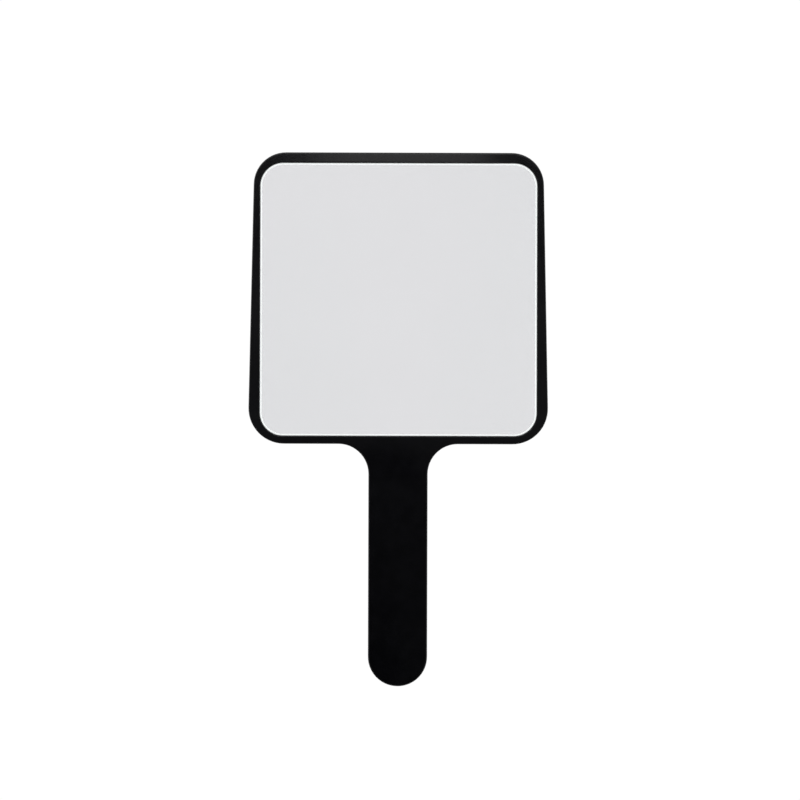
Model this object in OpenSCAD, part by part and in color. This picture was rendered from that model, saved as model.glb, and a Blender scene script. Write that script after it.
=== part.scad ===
// Square hand mirror for a hair salon: a moulded front shell with its handle, a back cover,
// and a glass pane taped into an open recess.
// +Z runs up the handle to the head, the mirror faces -Y, and X is the width.
// The origin is the middle of the grip: half way along the handle, on its centre line,
// and half way through its thickness.

/* [Head] */
// Width of the head along its top edge
head_top_w = 144.4; // [144:0.2:148]
// Width of the head along its bottom edge, where the handle joins
head_bottom_w = 150.4; // [149:0.2:154]
// Height of the head
head_h = 145.6; // [145:0.2:150]
// Radius of the two top corners
top_corner_r = 16.2; // [15:0.2:18]
// Radius of the two bottom corners
bottom_corner_r = 17.8; // [16:0.2:20]
// Thickness of the whole mirror, front face to back face
thickness = 12; // [12:0.5:15]

/* [Handle] */
// Width of the handle
handle_w = 29.6; // [27:0.2:32]
// Length of the handle, from the head's bottom edge to its round end
handle_len = 121; // [110:1:130]
// Radius that blends the handle into the head
neck_r = 15; // [12:0.5:18]

/* [Mirror] */
// Border above the recess
border_top = 5.2; // [4.6:0.2:5.6]
// Border below the recess
border_bottom = 4; // [3.6:0.2:4.4]
// Width of the glass pane
glass_w = 138.2; // [130.2:0.5:138.2]
// Corner radius of the glass pane
glass_corner_r = 11.4; // [9:0.2:13]
// Thickness of the glass
glass_t = 2; // [1.8:0.1:2.2]
// Depth of the glass below the front face
set_back = 1.2; // [0.8:0.1:1.3]
// Gap round the pane
glass_gap = 0.15; // [0.1:0.05:0.3]

/* [Shells] */
// Wall thickness of both mouldings
wall = 2; // [1.8:0.1:2.2]
// Depth of the back cover, from the parting line to the back face
cover_depth = 3; // [2.8:0.1:3.4]
// Radius of the outer edge at the front
front_edge_r = 1; // [0.6:0.1:1.2]
// Radius of the recess's lip
lip_r = 0.6; // [0.4:0.1:0.8]
// Radius of the outer edge at the back
back_edge_r = 2.4; // [1.5:0.1:2.4]
// Depth and width of the groove round the cover at the parting line
seam_w = 0.25; // [0.15:0.05:0.3]
// Play between the cover's tongue and the front shell
tongue_gap = 0.15; // [0.1:0.05:0.2]

/* [Screws] */
// Radius of a screw's shank
screw_r = 1.2; // [1:0.1:1.3]
// Radius of a screw's head
screw_head_r = 2.6; // [2.4:0.1:2.8]

/* [Hidden] */
$fn = 96;

// A cutter reaches this far past the face that it opens.
past = 1;
// Straight edges sit this far inside the arcs they meet, so that every crossing is a clean one.
weld = 0.002;

// A rounded edge meets its faces this share of its radius early, at a small angle and not in line.
edge_bite = 0.01;

// Heights, from the middle of the grip
head_z0 = handle_len / 2;
head_z1 = head_z0 + head_h;
grip_end_r = handle_w / 2;
grip_end_z = grip_end_r - handle_len / 2;
glass_h = head_h - border_top - border_bottom - 2 * glass_gap;
glass_z = head_z0 + border_bottom + glass_gap + glass_h / 2;
lean = atan((head_bottom_w - head_top_w) / 2 / head_h);
neck_lap = 10;

// Depths, from the front face at -Y to the back face at +Y
front_y = -thickness / 2;
back_y = thickness / 2;
glass_y = front_y + set_back;
silver_t = 0.1;
film_t = 0.2;
tape_t = 1;
silver_y = glass_y + glass_t;
film_y = silver_y + silver_t;
tape_y = film_y + film_t;
floor_y = tape_y + tape_t;
floor_back_y = floor_y + wall;
parting_y = back_y - cover_depth;
cover_inside_y = back_y - wall;
tongue_y = parting_y - 1.2;
tongue_t = 1;

// Strips of tape between the pane and the recess floor
tape_w = 14;
tape_len = 118;
tape_x_inner = 18;
tape_x_outer = 55;

// Screws under the pane: four in a rectangle and one above the neck
screw_play = 0.05;
hole_play = 0.3;
boss_r = 3.2;
head_screw_x = 36;
head_screw_dz = 46;
neck_screw_dz = 58;
head_screw_top = 1.3;
head_screw_end = cover_inside_y + 0.8;
head_screw_places = [
    for (sx = [-1, 1], sz = [-1, 1]) [sx * head_screw_x, glass_z + sz * head_screw_dz],
    [0, glass_z - neck_screw_dz]
];

// Screws from the back of the handle
handle_screw_z = [for (s = [-1, 1]) s * 36];
seat_y = back_y - 3;
pad_y = seat_y - 1.5;
pad_r = 4.8;
cap_r = 3.1;
cap_t = 1.2;
cap_play = 0.05;
cap_bevel = 0.3;
handle_head_t = 1.6;
handle_screw_end = front_y + wall + 1;

// Ribs
rib_t = 1.2;
cover_rib_y = cover_inside_y - 1.6;
grip_rib_y = pad_y - 0.2;
grip_rib_z = [-18, 0, 18];
neck_rib_x = 8;
neck_rib_z0 = head_z0 - 20;
grip_hollow_top = head_z0 + border_bottom - wall;

plastic_black = [0.07, 0.07, 0.08];
plastic_grey = [0.13, 0.13, 0.14];
glass_clear = [0.86, 0.88, 0.88];
silver_grey = [0.75, 0.76, 0.77];
film_white = [0.8, 0.8, 0.78];
foam_white = [0.9, 0.9, 0.87];
zinc = [0.68, 0.7, 0.73];

// ---------- Outlines, drawn flat in X and Z ----------

// A corner's centre across the head: the circle touches the top or bottom edge and the leaning side.
function corner_x(half_w, r, up) = half_w - r / cos(lean) + up * r * tan(lean);

// Corner centres on the right of the head, and the direction that its side faces
top_corner = [corner_x(head_top_w / 2, top_corner_r, 1), head_z1 - top_corner_r];
bottom_corner = [corner_x(head_bottom_w / 2, bottom_corner_r, -1), head_z0 + bottom_corner_r];
side_out = [cos(lean), sin(lean)];
up = [0, 1];
function flipped(place) = [-place[0], place[1]];

// The head at some inset from its edge: four true arcs joined by straight edges
module head_outline(inset = 0) {
    top_r = top_corner_r - inset;
    bottom_r = bottom_corner_r - inset;
    right_edge = [
        top_corner + (top_r - weld) * up,
        top_corner + (top_r - weld) * side_out,
        bottom_corner + (bottom_r - weld) * side_out,
        bottom_corner - (bottom_r - weld) * up
    ];
    left_edge = [for (i = [3:-1:0]) flipped(right_edge[i])];
    polygon(concat(right_edge, left_edge));
    for (s = [-1, 1]) {
        translate([s * top_corner[0], top_corner[1]]) circle(top_r);
        translate([s * bottom_corner[0], bottom_corner[1]]) circle(bottom_r);
    }
}

// The handle with its round end, and the neck's hollow arcs, up to some height
module handle_outline(inset = 0, top_z = head_z0 + neck_lap) {
    half_w = grip_end_r - inset;
    neck_w = grip_end_r + neck_r;
    translate([0, grip_end_z]) circle(half_w);
    translate([weld - half_w, grip_end_z])
        square([2 * (half_w - weld), head_z0 - grip_end_z]);
    difference() {
        translate([-neck_w, head_z0 - neck_r])
            square([2 * neck_w, top_z - head_z0 + neck_r]);
        for (s = [-1, 1])
            translate([s * neck_w, head_z0 - neck_r]) circle(neck_r + inset + 2 * weld);
    }
}

module outline(inset = 0) {
    head_outline(inset);
    handle_outline(inset);
}

// The pane's outline, grown by an amount on every side
module pane_outline(grow = 0) {
    w = glass_w / 2 + grow;
    h = glass_h / 2 + grow;
    r = glass_corner_r + grow;
    translate([0, glass_z]) {
        square([2 * (w - r), 2 * h], center = true);
        square([2 * w, 2 * (h - r)], center = true);
        for (sx = [-1, 1], sz = [-1, 1])
            translate([sx * (w - r), sz * (h - r)]) circle(r);
    }
}

// ---------- Helpers ----------

// A flat outline given thickness between two depths
module slab(y0, y1) {
    translate([0, y1, 0]) rotate([90, 0, 0]) linear_extrude(y1 - y0) children();
}

// A round rod along Y, at a place in X and Z
module rod(place, r, y0, y1) {
    translate([place[0], y1, place[1]]) rotate([90, 0, 0]) cylinder(h = y1 - y0, r = r);
}

// A cone along Y, with a radius at each of its depths
module cone(place, r0, y0, r1, y1) {
    translate([place[0], y1, place[1]]) rotate([90, 0, 0])
        cylinder(h = y1 - y0, r1 = r1, r2 = r0);
}

module box(x0, x1, y0, y1, z0, z1) {
    translate([x0, y0, z0]) cube([x1 - x0, y1 - y0, z1 - z0]);
}

// Everything between two depths
module layer(y0, y1) {
    box(-head_bottom_w, head_bottom_w, y0, y1, -handle_len, head_z1 + past);
}

// ---------- Rounded edges ----------

// What a rounded edge of radius r cuts from a corner at [x, y], where sx and sy point out of the solid
module corner_waste(x, y, sx, sy, r) {
    in = r * (1 - edge_bite);
    reach = 2 * past;
    difference() {
        translate([sx > 0 ? x - in : x - reach, sy > 0 ? y - in : y - reach])
            square(in + reach);
        translate([x - sx * in, y - sy * in]) circle(r);
    }
}

// Section of a slab near its edge: w wide up to the edge, with radii r0 and r1 at the depths y0 and y1.
// It runs past both depths, for rounded_slab to cut flat.
module edge_section(w, y0, y1, r0, r1) {
    difference() {
        translate([0, y0 - past]) square([w, y1 - y0 + 2 * past]);
        if (r0 > 0) corner_waste(w, y0, 1, -1, r0);
        if (r1 > 0) corner_waste(w, y1, 1, 1, r1);
    }
}

// Section of a cut near its edge: it leaves the slab with a rounded edge at each face
module cut_section(w, y0, y1, r0, r1) {
    translate([0, y0 - 2 * past]) square([w, y1 - y0 + 4 * past]);
    if (r0 > 0) corner_waste(w, y0, -1, -1, r0);
    if (r1 > 0) corner_waste(w, y1, -1, 1, r1);
}

// A section turned about the line along Y through a place. The turn starts and ends at an angle,
// anticlockwise from +X, where the outline has no edge.
module turned(place, start) {
    translate([place[0], 0, place[1]]) rotate([-90, -start, 0]) rotate_extrude() children();
}

// A section carried clockwise round an outline, from a to b, reaching outwards from that line
module carried(a, b) {
    way = b - a;
    translate([a[0], 0, a[1]]) rotate([0, atan2(way[0], way[1]), 0])
        linear_extrude(norm(way)) mirror([1, 0]) children();
}

module head_slab(y0, y1, r0, r1) {
    rim_w = max(r0, r1) + 1;
    top_run = top_corner + (top_corner_r - rim_w - weld) * up;
    bottom_run = bottom_corner - (bottom_corner_r - rim_w - weld) * up;
    side_run = [
        top_corner + (top_corner_r - rim_w - weld) * side_out,
        bottom_corner + (bottom_corner_r - rim_w - weld) * side_out
    ];
    slab(y0 - past, y1 + past) head_outline(rim_w - past / 2);
    carried(flipped(top_run), top_run) edge_section(rim_w, y0, y1, r0, r1);
    carried(bottom_run, flipped(bottom_run)) edge_section(rim_w, y0, y1, r0, r1);
    carried(side_run[0], side_run[1]) edge_section(rim_w, y0, y1, r0, r1);
    carried(flipped(side_run[1]), flipped(side_run[0])) edge_section(rim_w, y0, y1, r0, r1);
    for (s = [0, 1]) mirror([s, 0, 0]) {
        turned(top_corner, 225) edge_section(top_corner_r, y0, y1, r0, r1);
        turned(bottom_corner, 135) edge_section(bottom_corner_r, y0, y1, r0, r1);
    }
}

module handle_slab(y0, y1, r0, r1) {
    neck = [grip_end_r + neck_r, head_z0 - neck_r];
    turned([0, grip_end_z], 90) edge_section(grip_end_r, y0, y1, r0, r1);
    for (s = [0, 1]) mirror([s, 0, 0])
        translate([0, 0, grip_end_z]) linear_extrude(head_z0 - grip_end_z + neck_lap)
            edge_section(grip_end_r - weld, y0, y1, r0, r1);
    difference() {
        box(-neck[0], neck[0], y0 - past, y1 + past, neck[1], head_z0 + neck_lap);
        for (s = [0, 1]) mirror([s, 0, 0])
            turned(neck, -45) cut_section(neck_r + 2 * weld, y0, y1, r0, r1);
    }
}

// The whole outline between two depths, with the edge radius at each
module rounded_slab(y0, y1, r0, r1) {
    difference() {
        union() {
            head_slab(y0, y1, r0, r1);
            handle_slab(y0, y1, r0, r1);
        }
        layer(y0 - 3 * past, y0);
        layer(y1, y1 + 3 * past);
    }
}

// The recess for the pane, with its lip rounded at the front face
module recess() {
    w = glass_w / 2 + glass_gap;
    h = glass_h / 2 + glass_gap;
    r = glass_corner_r + glass_gap;
    rim_w = 3;
    x = w - rim_w - weld;
    z = h - rim_w - weld;
    slab(front_y - past, floor_y) pane_outline(glass_gap - rim_w / 2);
    intersection() {
        slab(front_y - past / 2, floor_y) pane_outline(glass_gap + past);
        translate([0, 0, glass_z]) {
            carried([r - w, z], [w - r, z]) cut_section(rim_w, front_y, floor_y, lip_r, 0);
            carried([w - r, -z], [r - w, -z]) cut_section(rim_w, front_y, floor_y, lip_r, 0);
            carried([x, h - r], [x, r - h]) cut_section(rim_w, front_y, floor_y, lip_r, 0);
            carried([-x, r - h], [-x, h - r]) cut_section(rim_w, front_y, floor_y, lip_r, 0);
            for (sx = [0, 1], sz = [0, 1]) mirror([sx, 0, 0]) mirror([0, 0, sz])
                turned([w - r, h - r], 225) cut_section(r, front_y, floor_y, lip_r, 0);
        }
    }
}

// ---------- Front shell ----------

// The recess for the pane, the space behind its floor, and the deeper hollow in the handle
module front_shell_hollows() {
    recess();
    slab(floor_back_y, parting_y + past) outline(wall);
    slab(front_y + wall, floor_back_y + past) handle_outline(wall, grip_hollow_top);
}

module grip_ribs() {
    half_w = grip_end_r - wall + past / 2;
    for (z = grip_rib_z)
        box(-half_w, half_w, front_y + wall / 2, grip_rib_y, z - rib_t / 2, z + rib_t / 2);
    for (s = [-1, 1])
        box(s * neck_rib_x - rib_t / 2, s * neck_rib_x + rib_t / 2,
            front_y + wall / 2, floor_back_y, neck_rib_z0, grip_hollow_top + wall / 2);
}

module front_shell() {
    color(plastic_black) difference() {
        union() {
            difference() {
                rounded_slab(front_y, parting_y, front_edge_r, 0);
                front_shell_hollows();
            }
            grip_ribs();
            for (z = handle_screw_z) rod([0, z], boss_r, front_y + wall / 2, pad_y);
        }
        for (z = handle_screw_z)
            rod([0, z], screw_r + screw_play, handle_screw_end - 0.3, pad_y + past);
        for (p = head_screw_places) {
            rod(p, screw_r + hole_play, floor_y - past, floor_back_y + past);
            cone(p, screw_head_r + 0.15, floor_y,
                screw_r + hole_play - 0.1, floor_y + head_screw_top + 0.2);
        }
    }
}

// ---------- Back cover ----------

// A grid of ribs that joins the screw bosses and runs into the tongue all round
module cover_ribs() {
    slab(cover_rib_y, cover_inside_y + wall / 2) intersection() {
        head_outline(wall + tongue_gap + tongue_t / 2);
        union() {
            for (x = [-head_screw_x, 0, head_screw_x])
                translate([x - rib_t / 2, head_z0]) square([rib_t, head_h]);
            for (s = [-1, 1])
                translate([-head_bottom_w / 2, glass_z + s * head_screw_dz - rib_t / 2])
                    square([head_bottom_w, rib_t]);
        }
    }
}

// The groove round the cover's edge at the parting line
module seam_groove() {
    slab(parting_y - past, parting_y + seam_w) difference() {
        outline(-past);
        outline(seam_w);
    }
}

module back_cover() {
    color(plastic_grey) difference() {
        union() {
            difference() {
                union() {
                    difference() {
                        rounded_slab(parting_y, back_y, 0, back_edge_r);
                        seam_groove();
                    }
                    slab(tongue_y, parting_y + past / 2) outline(wall + tongue_gap);
                }
                slab(tongue_y - past, cover_inside_y) outline(wall + tongue_gap + tongue_t);
            }
            cover_ribs();
            for (p = head_screw_places) rod(p, boss_r, floor_back_y, cover_inside_y + wall / 2);
            for (z = handle_screw_z) rod([0, z], pad_r, pad_y, cover_inside_y + wall / 2);
        }
        for (p = head_screw_places)
            rod(p, screw_r + screw_play, floor_back_y - past, head_screw_end + 0.2);
        for (z = handle_screw_z) {
            rod([0, z], screw_r + hole_play, pad_y - past, seat_y + past);
            rod([0, z], cap_r + cap_play, seat_y, back_y + past);
            cone([0, z], cap_r + cap_play, back_y - cap_bevel,
                cap_r + cap_play + cap_bevel + past, back_y + past);
        }
    }
}

// ---------- Pane and what holds it ----------

module mirror_glass() {
    color(glass_clear) slab(glass_y, silver_y) pane_outline();
}

module mirror_silvering() {
    color(silver_grey) slab(silver_y, film_y) pane_outline(-0.3);
}

module safety_film() {
    color(film_white) slab(film_y, tape_y) pane_outline(-0.6);
}

module tape_strip(x) {
    color(foam_white)
        box(x - tape_w / 2, x + tape_w / 2, tape_y, floor_y,
            glass_z - tape_len / 2, glass_z + tape_len / 2);
}

// ---------- Fasteners ----------

// The cross slot in a screw's head, cut from its outer face inwards
module cross_slot(place, y0, y1) {
    for (a = [0, 90])
        translate([place[0], (y0 + y1) / 2, place[1]]) rotate([0, a, 0])
            cube([2.8, y1 - y0, 0.6], center = true);
}

module head_screws() {
    color(zinc) for (p = head_screw_places) difference() {
        union() {
            cone(p, screw_head_r, floor_y, screw_r, floor_y + head_screw_top);
            rod(p, screw_r, floor_y + head_screw_top - 0.1, head_screw_end);
        }
        cross_slot(p, floor_y - past, floor_y + 0.8);
    }
}

module handle_screws() {
    color(zinc) for (z = handle_screw_z) difference() {
        union() {
            rod([0, z], screw_head_r, seat_y, seat_y + handle_head_t);
            rod([0, z], screw_r, handle_screw_end, seat_y + 0.1);
        }
        cross_slot([0, z], seat_y + handle_head_t - 0.9, seat_y + handle_head_t + past);
    }
}

module screw_caps() {
    color(plastic_black) for (z = handle_screw_z) difference() {
        union() {
            rod([0, z], cap_r, seat_y, back_y - cap_bevel);
            cone([0, z], cap_r, back_y - cap_bevel, cap_r - cap_bevel, back_y);
        }
        rod([0, z], screw_head_r + 0.1, seat_y - past, back_y - cap_t);
    }
}

front_shell();
back_cover();
mirror_glass();
mirror_silvering();
safety_film();
tape_strip(-tape_x_outer);  // tape_strip_outer_left
tape_strip(-tape_x_inner);  // tape_strip_inner_left
tape_strip(tape_x_inner);  // tape_strip_inner_right
tape_strip(tape_x_outer);  // tape_strip_outer_right
head_screws();
handle_screws();
screw_caps();
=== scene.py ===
"""A square hand mirror for a hair salon, dressed and lit for a studio picture.

The frame's axes: +Z runs up the handle to the head, the mirror faces -Y, X is the width,
and the origin is the middle of the grip. Lengths are in metres.
"""

import math

import bmesh
import bpy
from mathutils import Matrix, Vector


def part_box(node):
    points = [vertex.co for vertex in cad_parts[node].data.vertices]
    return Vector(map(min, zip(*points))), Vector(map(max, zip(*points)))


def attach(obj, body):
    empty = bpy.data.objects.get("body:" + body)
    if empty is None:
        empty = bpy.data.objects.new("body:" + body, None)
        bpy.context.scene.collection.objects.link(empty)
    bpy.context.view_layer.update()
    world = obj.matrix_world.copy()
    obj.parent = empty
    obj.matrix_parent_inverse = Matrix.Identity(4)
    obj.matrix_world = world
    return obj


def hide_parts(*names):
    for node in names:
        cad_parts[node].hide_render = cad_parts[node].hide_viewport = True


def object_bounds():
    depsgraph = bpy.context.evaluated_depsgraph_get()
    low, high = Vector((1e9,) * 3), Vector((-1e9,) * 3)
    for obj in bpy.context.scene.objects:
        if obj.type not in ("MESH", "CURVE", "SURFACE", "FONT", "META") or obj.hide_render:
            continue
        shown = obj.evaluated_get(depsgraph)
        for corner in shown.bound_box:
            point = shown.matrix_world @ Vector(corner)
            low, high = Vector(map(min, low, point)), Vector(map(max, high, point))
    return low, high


MM = 0.001

PLASTIC_IOR = 1.49
PLASTIC_SPECULAR = 0.32
GLASS_IOR = 1.52

# The glass pane
PANE_CORNER = 11.4 * MM
PANE_ARRIS = 0.7 * MM
PANE_CORNER_STEPS = 24
SILVERING_GAP = 0.02 * MM

# The floor's depth below the handle, and the radii where it starts and ends its fade
FLOOR_DROP = 0.22
FLOOR_SOLID = 0.25
FLOOR_GONE = 1.1


# ---------- Node helpers ----------


class Graph:
    """A node tree with short ways to add nodes and link them."""

    def __init__(self, tree):
        self.tree = tree
        tree.nodes.clear()

    def add(self, kind, settings=None, **inputs):
        node = self.tree.nodes.new(kind)
        for key, value in (settings or {}).items():
            setattr(node, key, value)
        for key, value in inputs.items():
            self.put(node, key.replace("_", " "), value)
        return node

    def put(self, node, key, value):
        socket = node.inputs[int(key) if key.isdigit() else key]
        if isinstance(value, bpy.types.NodeSocket):
            self.tree.links.new(value, socket)
        else:
            socket.default_value = value

    def math(self, op, a, b=0.0, clamp=False):
        node = self.add("ShaderNodeMath", {"operation": op, "use_clamp": clamp})
        self.put(node, "0", a)
        self.put(node, "1", b)
        return node.outputs[0]

    def smooth(self, value, low, high, out_low=0.0, out_high=1.0):
        """Goes smoothly from out_low to out_high as value goes from low to high."""
        node = self.add("ShaderNodeMapRange", {"interpolation_type": "SMOOTHSTEP"})
        keys = ("Value", "From Min", "From Max", "To Min", "To Max")
        for key, v in zip(keys, (value, low, high, out_low, out_high)):
            self.put(node, key, v)
        return node.outputs["Result"]

    def mix(self, factor, a, b):
        node = self.add("ShaderNodeMix", {"data_type": "RGBA"})
        self.put(node, "0", factor)
        self.put(node, "6", a)
        self.put(node, "7", b)
        return node.outputs[2]

    def noise(self, place, size, detail=2.0, stretch=(1, 1, 1), seed=0.0):
        """Noise whose features are about size metres across, along axes stretched by stretch."""
        scale = tuple(1 / (size * s) for s in stretch)
        shift = (seed, seed * 1.7, seed * 2.3)
        spot = self.add("ShaderNodeMapping", Vector=place, Location=shift, Scale=scale).outputs[0]
        node = self.add("ShaderNodeTexNoise", Vector=spot, Scale=1.0, Detail=detail, Roughness=0.55)
        return node.outputs["Fac"]

    def bump(self, height, depth, normal=None):
        """Relief of that depth in metres, on top of normal where it is given."""
        node = self.add("ShaderNodeBump", Height=height, Distance=depth, Strength=1.0)
        if normal is not None:
            self.put(node, "Normal", normal)
        return node.outputs[0]


def new_material(name):
    """A new material, with an empty graph to fill."""
    mat = bpy.data.materials.new(name)
    mat.use_nodes = True
    return mat, Graph(mat.node_tree)


def close_material(g, bsdf):
    """Joins the last shader to the material's output."""
    out = g.add("ShaderNodeOutputMaterial")
    g.tree.links.new(bsdf.outputs[0], out.inputs["Surface"])


# ---------- Materials ----------


def moulded_plastic(name, seed, colour, worn, rough, grain, pebble=0.0):
    """Satin black moulded plastic: spark-eroded grain, slow ripples, rubbed patches and polished edges.

    seed moves every pattern, so that two mouldings don't match. colour and worn are the base and
    rubbed colours, and rough the roughness. grain is the depth of the fine grain, and pebble that
    of the coarser one.
    """
    mat, g = new_material(name)
    place = g.add("ShaderNodeTexCoord").outputs["Object"]
    outward = g.add("ShaderNodeNewGeometry").outputs["Normal"]
    facing = g.add("ShaderNodeSeparateXYZ", Vector=outward).outputs["Y"]
    facing = g.math("ABSOLUTE", facing)

    rubbed = g.smooth(g.noise(place, 0.035, 4.0, seed=seed), 0.42, 0.68)
    mottle = g.noise(place, 0.006, 3.0, seed=seed + 3)
    grit = g.noise(place, 0.0009, 2.0, seed=seed + 5)
    fine = g.noise(place, 0.00028, 1.0, seed=seed + 7)
    ripple = g.noise(place, 0.028, 1.0, seed=seed + 9)

    # Hair scratches, long along the handle and broken up by a slow mask
    lines = g.noise(place, 0.0016, 3.0, stretch=(0.12, 0.12, 9.0), seed=seed + 11)
    lines = g.smooth(lines, 0.66, 0.72)
    lines = g.math("MULTIPLY", lines, g.smooth(g.noise(place, 0.02, 2.0, seed=seed + 13), 0.5, 0.7))

    # A rounded edge faces neither straight out nor straight sideways
    edge = g.math("MULTIPLY", facing, g.math("SUBTRACT", 1.0, facing))
    edge = g.smooth(edge, 0.03, 0.2)
    wear = g.math("MULTIPLY", edge, g.smooth(g.noise(place, 0.011, 4.0, seed=seed + 17), 0.45, 0.7))

    shade = g.mix(g.smooth(mottle, 0.3, 0.7), colour + (1,), tuple(c * 1.5 for c in colour) + (1,))
    shade = g.mix(g.math("MULTIPLY", wear, 0.3), shade, worn + (1,))
    shade = g.mix(g.math("MULTIPLY", lines, 0.35), shade, worn + (1,))

    roughness = g.smooth(mottle, 0.25, 0.75, rough - 0.025, rough + 0.03)
    roughness = g.math("SUBTRACT", roughness, g.math("MULTIPLY", rubbed, 0.09))
    roughness = g.math("SUBTRACT", roughness, g.math("MULTIPLY", edge, 0.07))
    roughness = g.math("ADD", roughness, g.math("MULTIPLY", lines, 0.08), clamp=True)

    normal = g.add("ShaderNodeBevel", {"samples": 6}, Radius=0.00016).outputs[0]
    normal = g.bump(ripple, 0.00005, normal)
    normal = g.bump(grit, grain, normal)
    normal = g.bump(fine, grain * 0.35, normal)
    if pebble:
        cells = g.add("ShaderNodeTexVoronoi", {"feature": "SMOOTH_F1"}, Vector=place, Scale=700.0)
        normal = g.bump(cells.outputs["Distance"], pebble, normal)
    normal = g.bump(lines, 0.000004, normal)

    bsdf = g.add("ShaderNodeBsdfPrincipled", Base_Color=shade, Roughness=roughness, Normal=normal)
    g.put(bsdf, "IOR", PLASTIC_IOR)
    g.put(bsdf, "Specular IOR Level", PLASTIC_SPECULAR)
    close_material(g, bsdf)
    return mat


def clear_glass():
    """Float glass: clear, faintly green, with the slow wave that float glass has."""
    mat, g = new_material("float_glass")
    place = g.add("ShaderNodeTexCoord").outputs["Object"]
    wave = g.noise(place, 0.06, 1.0, stretch=(1, 1, 3), seed=2)
    film = g.noise(place, 0.012, 4.0, seed=4)
    tint = g.mix(g.smooth(wave, 0.3, 0.7), (0.985, 0.992, 0.988, 1), (0.98, 0.99, 0.985, 1))
    rough = g.smooth(film, 0.35, 0.8, 0.0, 0.012)
    normal = g.bump(wave, 0.000002)
    bsdf = g.add("ShaderNodeBsdfPrincipled", Base_Color=tint, Roughness=rough, Normal=normal)
    g.put(bsdf, "IOR", GLASS_IOR)
    g.put(bsdf, "Transmission Weight", 1.0)
    close_material(g, bsdf)
    return mat


def ground_edge():
    """The pane's ground edge: frosted by the wheel, and chipped a little.

    The edge gives off a faint light of its own: a painted glow, as the edge is no lamp.
    """
    mat, g = new_material("ground_glass_edge")
    place = g.add("ShaderNodeTexCoord").outputs["Object"]
    wheel = g.noise(place, 0.0004, 3.0, stretch=(1, 0.3, 1), seed=6)
    chips = g.smooth(g.noise(place, 0.0012, 4.0, seed=8), 0.62, 0.75)
    tint = g.mix(g.smooth(wheel, 0.35, 0.65), (0.93, 0.97, 0.96, 1), (0.97, 0.985, 0.98, 1))
    tint = g.mix(chips, tint, (0.70, 0.80, 0.77, 1))
    rough = g.smooth(wheel, 0.3, 0.7, 0.32, 0.5)
    normal = g.bump(wheel, 0.00002)
    bsdf = g.add("ShaderNodeBsdfPrincipled", Base_Color=tint, Roughness=rough, Normal=normal)
    g.put(bsdf, "IOR", GLASS_IOR)
    g.put(bsdf, "Transmission Weight", 0.1)
    # Painted glow: the ground edge emits a faint light in its own tint, though it is no lamp
    g.put(bsdf, "Emission Color", tint)
    g.put(bsdf, "Emission Strength", 0.5)
    close_material(g, bsdf)
    return mat


def silver_layer():
    """The reflecting layer: silver with the slightest drift in tone and polish."""
    mat, g = new_material("silvering")
    place = g.add("ShaderNodeTexCoord").outputs["Object"]
    drift = g.noise(place, 0.05, 3.0, seed=12)
    specks = g.smooth(g.noise(place, 0.0018, 2.0, seed=14), 0.74, 0.8)
    tone = g.mix(g.smooth(drift, 0.3, 0.7), (0.880, 0.868, 0.890, 1), (0.874, 0.862, 0.884, 1))
    rough = g.math("ADD", g.smooth(drift, 0.3, 0.7, 0.004, 0.010), g.math("MULTIPLY", specks, 0.01))
    bsdf = g.add("ShaderNodeBsdfPrincipled", Base_Color=tone, Roughness=rough, Metallic=1.0)
    close_material(g, bsdf)
    return mat


def backing_film():
    """Thin white safety film with a woven scrim pressed into it."""
    mat, g = new_material("safety_film")
    place = g.add("ShaderNodeTexCoord").outputs["Object"]
    threads = []
    for direction in ("X", "Z"):
        across = {"bands_direction": direction}
        bands = g.add("ShaderNodeTexWave", across, Vector=place, Scale=220.0, Distortion=0.6)
        threads.append(bands.outputs["Fac"])
    scrim = g.math("MAXIMUM", *threads)
    cloud = g.noise(place, 0.01, 3.0, seed=16)
    tone = g.mix(g.smooth(cloud, 0.3, 0.7), (0.82, 0.82, 0.80, 1), (0.90, 0.90, 0.88, 1))
    tone = g.mix(g.math("MULTIPLY", scrim, 0.15), tone, (0.65, 0.66, 0.66, 1))
    rough = g.smooth(cloud, 0.3, 0.7, 0.34, 0.48)
    bsdf = g.add("ShaderNodeBsdfPrincipled", Base_Color=tone, Roughness=rough, Normal=g.bump(scrim, 0.00002))
    close_material(g, bsdf)
    return mat


def foam_tape():
    """White closed-cell foam: small cells, with painted shade that darkens them a little in their hollows.
    """
    mat, g = new_material("foam_tape")
    place = g.add("ShaderNodeTexCoord").outputs["Object"]
    cells = g.add("ShaderNodeTexVoronoi", Vector=place, Scale=3200.0).outputs["Distance"]
    cloud = g.noise(place, 0.004, 3.0, seed=18)
    # Painted shade: the cell pattern darkens the colour where the hollows are
    tone = g.mix(g.smooth(cells, 0.1, 0.7), (0.90, 0.90, 0.87, 1), (0.72, 0.72, 0.68, 1))
    tone = g.mix(g.math("MULTIPLY", cloud, 0.2), tone, (0.80, 0.78, 0.70, 1))
    rough = g.smooth(cloud, 0.3, 0.7, 0.82, 0.95)
    bsdf = g.add("ShaderNodeBsdfPrincipled", Base_Color=tone, Roughness=rough, Normal=g.bump(cells, 0.00006))
    close_material(g, bsdf)
    return mat


def zinc_steel():
    """Zinc-plated steel with turning marks and darker, duller spots."""
    mat, g = new_material("zinc_steel")
    place = g.add("ShaderNodeTexCoord").outputs["Object"]
    turned = g.noise(place, 0.0005, 2.0, stretch=(1, 0.15, 1), seed=20)
    spots = g.smooth(g.noise(place, 0.0015, 3.0, seed=22), 0.5, 0.7)
    tone = g.mix(spots, (0.66, 0.68, 0.71, 1), (0.42, 0.43, 0.45, 1))
    rough = g.math("ADD", g.smooth(turned, 0.3, 0.7, 0.24, 0.36), g.math("MULTIPLY", spots, 0.12))
    normal = g.bump(turned, 0.000008)
    bsdf = g.add("ShaderNodeBsdfPrincipled", Base_Color=tone, Roughness=rough, Normal=normal, Metallic=1.0)
    close_material(g, bsdf)
    return mat


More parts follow.
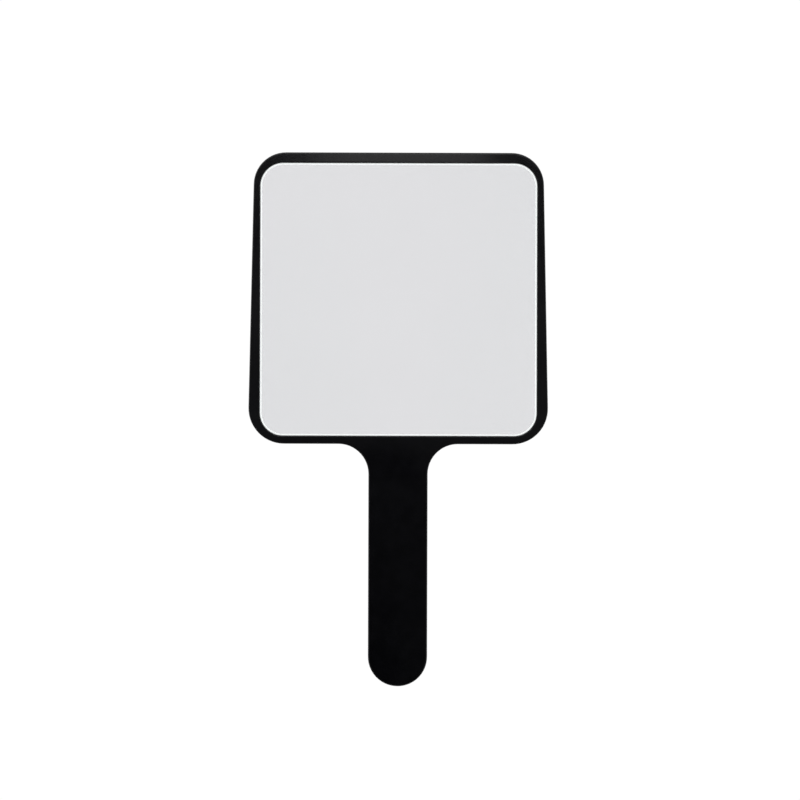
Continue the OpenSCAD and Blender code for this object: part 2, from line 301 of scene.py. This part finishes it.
def dress(node, mat):
    """Gives a CAD node its material."""
    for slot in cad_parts[node].material_slots:
        slot.material = mat


# ---------- Pane ----------


def rounded_rectangle(half_w, half_h, r, steps):
    """Points of a rounded rectangle round (0, 0), with r as its corner radius."""
    points = []
    for i, (sx, sz) in enumerate(((1, 1), (-1, 1), (-1, -1), (1, -1))):
        for k in range(steps + 1):
            a = math.radians(90 * (i + k / steps))
            points.append((sx * (half_w - r) + r * math.cos(a), sz * (half_h - r) + r * math.sin(a)))
    return points


def make_pane(box, gap):
    """The glass with its ground edges: an arris in front and behind, just clear of the silvering."""
    lo, hi = box
    centre = (lo + hi) / 2
    half = (hi - lo) / 2
    # Depth of each ring, and how far it is inset. The arris is wider in front than behind
    rings = (
        (lo.y, PANE_ARRIS),
        (lo.y + PANE_ARRIS / 2, 0.0),
        (hi.y - gap - PANE_ARRIS / 2, 0.0),
        (hi.y - gap, PANE_ARRIS / 2),
    )
    mesh = bpy.data.meshes.new("mirror_pane")
    bm = bmesh.new()
    loops = []
    for y, inset in rings:
        flat = rounded_rectangle(half.x - inset, half.z - inset, PANE_CORNER - inset, PANE_CORNER_STEPS)
        loops.append([bm.verts.new((centre.x + x, y, centre.z + z)) for x, z in flat])
    bm.faces.new(loops[0])
    bm.faces.new(reversed(loops[-1]))
    for a, b in zip(loops, loops[1:]):
        for i in range(len(a)):
            j = (i + 1) % len(a)
            side = bm.faces.new((a[i], b[i], b[j], a[j]))
            side.material_index = 1
            side.smooth = True
    bmesh.ops.recalc_face_normals(bm, faces=bm.faces)
    bm.to_mesh(mesh)
    bm.free()
    piece = bpy.data.objects.new("mirror_pane", mesh)
    bpy.context.scene.collection.objects.link(piece)
    mesh.materials.append(clear_glass())
    mesh.materials.append(ground_edge())
    mesh.set_sharp_from_angle(angle=math.radians(20))
    return piece


# ---------- Studio ----------


def make_floor(z, solid, gone):
    """A level round floor: solid out to one radius, and faded into the white studio at another."""
    mesh = bpy.data.meshes.new("floor")
    bm = bmesh.new()
    bmesh.ops.create_circle(bm, cap_ends=True, segments=96, radius=gone)
    bm.to_mesh(mesh)
    bm.free()
    floor = bpy.data.objects.new("floor", mesh)
    floor.location = (0, 0, z)
    bpy.context.scene.collection.objects.link(floor)
    mat, g = new_material("pale_floor")
    place = g.add("ShaderNodeTexCoord").outputs["Object"]
    radius = g.add("ShaderNodeVectorMath", {"operation": "LENGTH"}, Vector=place).outputs["Value"]
    blend = g.add("ShaderNodeMixShader")
    g.put(blend, "0", g.smooth(radius, solid, gone))
    g.put(blend, "1", g.add("ShaderNodeBsdfDiffuse", Color=(0.86, 0.86, 0.86, 1)).outputs[0])
    g.put(blend, "2", g.add("ShaderNodeBsdfTransparent").outputs[0])
    close_material(g, blend)
    mesh.materials.append(mat)
    floor.visible_glossy = False
    floor.visible_transmission = False
    floor.visible_shadow = False


def make_light(name, place, target, size, radiance, seen_by=()):
    """A soft rectangular light. With seen_by, it lights only those objects."""
    data = bpy.data.lights.new(name, "AREA")
    data.shape = "RECTANGLE"
    data.size, data.size_y = size
    data.energy = radiance * size[0] * size[1] * math.pi
    light = bpy.data.objects.new(name, data)
    light.location = place
    light.rotation_euler = (Vector(target) - Vector(place)).to_track_quat("-Z", "Y").to_euler()
    light.visible_camera = False
    bpy.context.scene.collection.objects.link(light)
    if seen_by:
        lit = bpy.data.collections.new(name + "_lights")
        for thing in seen_by:
            lit.objects.link(thing)
        light.light_linking.receiver_collection = lit


def make_world():
    """A white studio: bright all round, with two brighter boxes behind, and dark round the lens."""
    world = bpy.data.worlds.new("studio")
    bpy.context.scene.world = world
    world.use_nodes = True
    g = Graph(world.node_tree)
    way = g.add("ShaderNodeTexCoord").outputs["Generated"]
    axes = g.add("ShaderNodeSeparateXYZ", Vector=way).outputs
    front = g.math("MULTIPLY", axes["Y"], -1.0)

    # Light comes back off the floor behind the mirror, and hardly any in front of it
    below = g.smooth(axes["Y"], 0.0, 0.5, 0.12, 0.6)
    level = g.smooth(axes["Z"], -0.6, 0.85, below, 1.5)
    # Straight down lies the pale floor, which doesn't show in reflections itself
    level = g.math("ADD", level, g.smooth(axes["Z"], -0.93, -0.88, 0.7, 0.0))
    # Direction of each box, the cosines between which it fades in, and its strength
    for box_way, size, strength in (
        ((0.72, 0.66, 0.05), (0.80, 0.96), 1.2),
        ((-0.93, 0.30, 0.10), (0.86, 0.97), 1.1),
    ):
        toward = g.add("ShaderNodeVectorMath", {"operation": "DOT_PRODUCT"})
        g.put(toward, "0", way)
        toward.inputs[1].default_value = Vector(box_way).normalized()
        level = g.math("ADD", level, g.smooth(toward.outputs["Value"], size[0], size[1], 0.0, strength))
    # The dark round the lens is full within 50 degrees of it, and gone by 75
    ring = g.smooth(front, math.cos(math.radians(75)), math.cos(math.radians(50)))
    light = g.mix(ring, level, (0.02, 0.02, 0.024, 1))
    seen = g.add("ShaderNodeLightPath").outputs["Is Camera Ray"]
    light = g.mix(seen, light, (1.02, 1.02, 1.02, 1))
    back = g.add("ShaderNodeBackground", Color=light, Strength=1.0)
    out = g.add("ShaderNodeOutputWorld")
    g.tree.links.new(back.outputs[0], out.inputs["Surface"])


def make_camera(target, across, lens, roll):
    """A long lens looking along +Y, rolled by some degrees. across is the view's width at the target."""
    data = bpy.data.cameras.new("camera")
    data.lens = lens
    data.sensor_width = 36
    camera = bpy.data.objects.new("camera", data)
    away = across * lens / data.sensor_width
    camera.location = (target[0], target[1] - away, target[2])
    camera.rotation_euler = (math.radians(90), -math.radians(roll), 0)
    bpy.context.scene.collection.objects.link(camera)
    bpy.context.scene.camera = camera


# ---------- Building ----------

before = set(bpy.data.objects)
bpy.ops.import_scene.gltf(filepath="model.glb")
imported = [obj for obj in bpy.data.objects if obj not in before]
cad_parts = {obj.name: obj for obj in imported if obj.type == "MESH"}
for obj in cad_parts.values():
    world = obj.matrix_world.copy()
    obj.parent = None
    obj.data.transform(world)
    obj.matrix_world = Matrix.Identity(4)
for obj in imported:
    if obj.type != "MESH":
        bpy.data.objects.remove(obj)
cad_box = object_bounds()

black = (0.0005, 0.0004, 0.0013)
worn = (0.020, 0.020, 0.022)
front_plastic = moulded_plastic("front_plastic", 1.0, black, worn, 0.42, 0.000025)
back_plastic = moulded_plastic("back_plastic", 31.0, black, worn, 0.46, 0.000030, 0.00012)
cap_plastic = moulded_plastic("cap_plastic", 57.0, black, worn, 0.34, 0.000005)

dress("front_shell", front_plastic)
dress("back_cover", back_plastic)
dress("screw_caps", cap_plastic)
dress("mirror_silvering", silver_layer())
dress("safety_film", backing_film())
foam = foam_tape()
for side in ("outer_left", "inner_left", "inner_right", "outer_right"):
    dress("tape_strip_" + side, foam)
steel = zinc_steel()
dress("head_screws", steel)
dress("handle_screws", steel)

pane = make_pane(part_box("mirror_glass"), SILVERING_GAP)
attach(pane, "root")
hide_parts("mirror_glass")

make_floor(cad_box[0].z - FLOOR_DROP, FLOOR_SOLID, FLOOR_GONE)
make_world()
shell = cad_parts["front_shell"]
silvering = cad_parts["mirror_silvering"]
plastics = [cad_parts[name] for name in ("front_shell", "back_cover", "screw_caps")]
# A faint strip in front of each border of the frame: name, x, z, size and radiance
for side, x, z, size, radiance in (
    ("top", 0, 0.213, (0.09, 0.03), 1.25),
    ("left", -0.076, 0.10, (0.03, 0.10), 0.17),
    ("right", 0.076, 0.10, (0.03, 0.10), 0.19),
    ("bottom", 0, 0.066, (0.15, 0.02), 0.12),
):
    make_light(side + "_strip", (x, -0.045, z), (x, 0, z), size, radiance, (shell,))
# A box above the head, for light that fades down the front, and weak boxes low on each side
make_light("high_box", (0, -0.25, 0.36), (0, 0, 0.12), (0.30, 0.10), 4.0, (shell,))
for side, x in (("left", -0.75), ("right", 0.75)):
    make_light(side + "_low_box", (x, -0.75, -0.4), (0, 0, 0.07), (0.7, 0.7), 0.35, plastics)
# The cover and the caps have their own light from behind
make_light("back_key", (-0.45, 0.65, 0.55), (0, 0, 0.07), (0.5, 0.5), 7.0, plastics[1:])
# The card behind the lens is what the mirror reflects
make_light("lens_card", (0, -1.7, 0.2), (0, 0, 0.2), (10.0, 8.0), 0.85, (pane, silvering))
make_camera(target=(0.88 * MM, -5 * MM, 82.5 * MM), across=0.3997, lens=120, roll=0.17)

view = bpy.context.scene.view_settings
view.view_transform = "Standard"
view.look = "None"
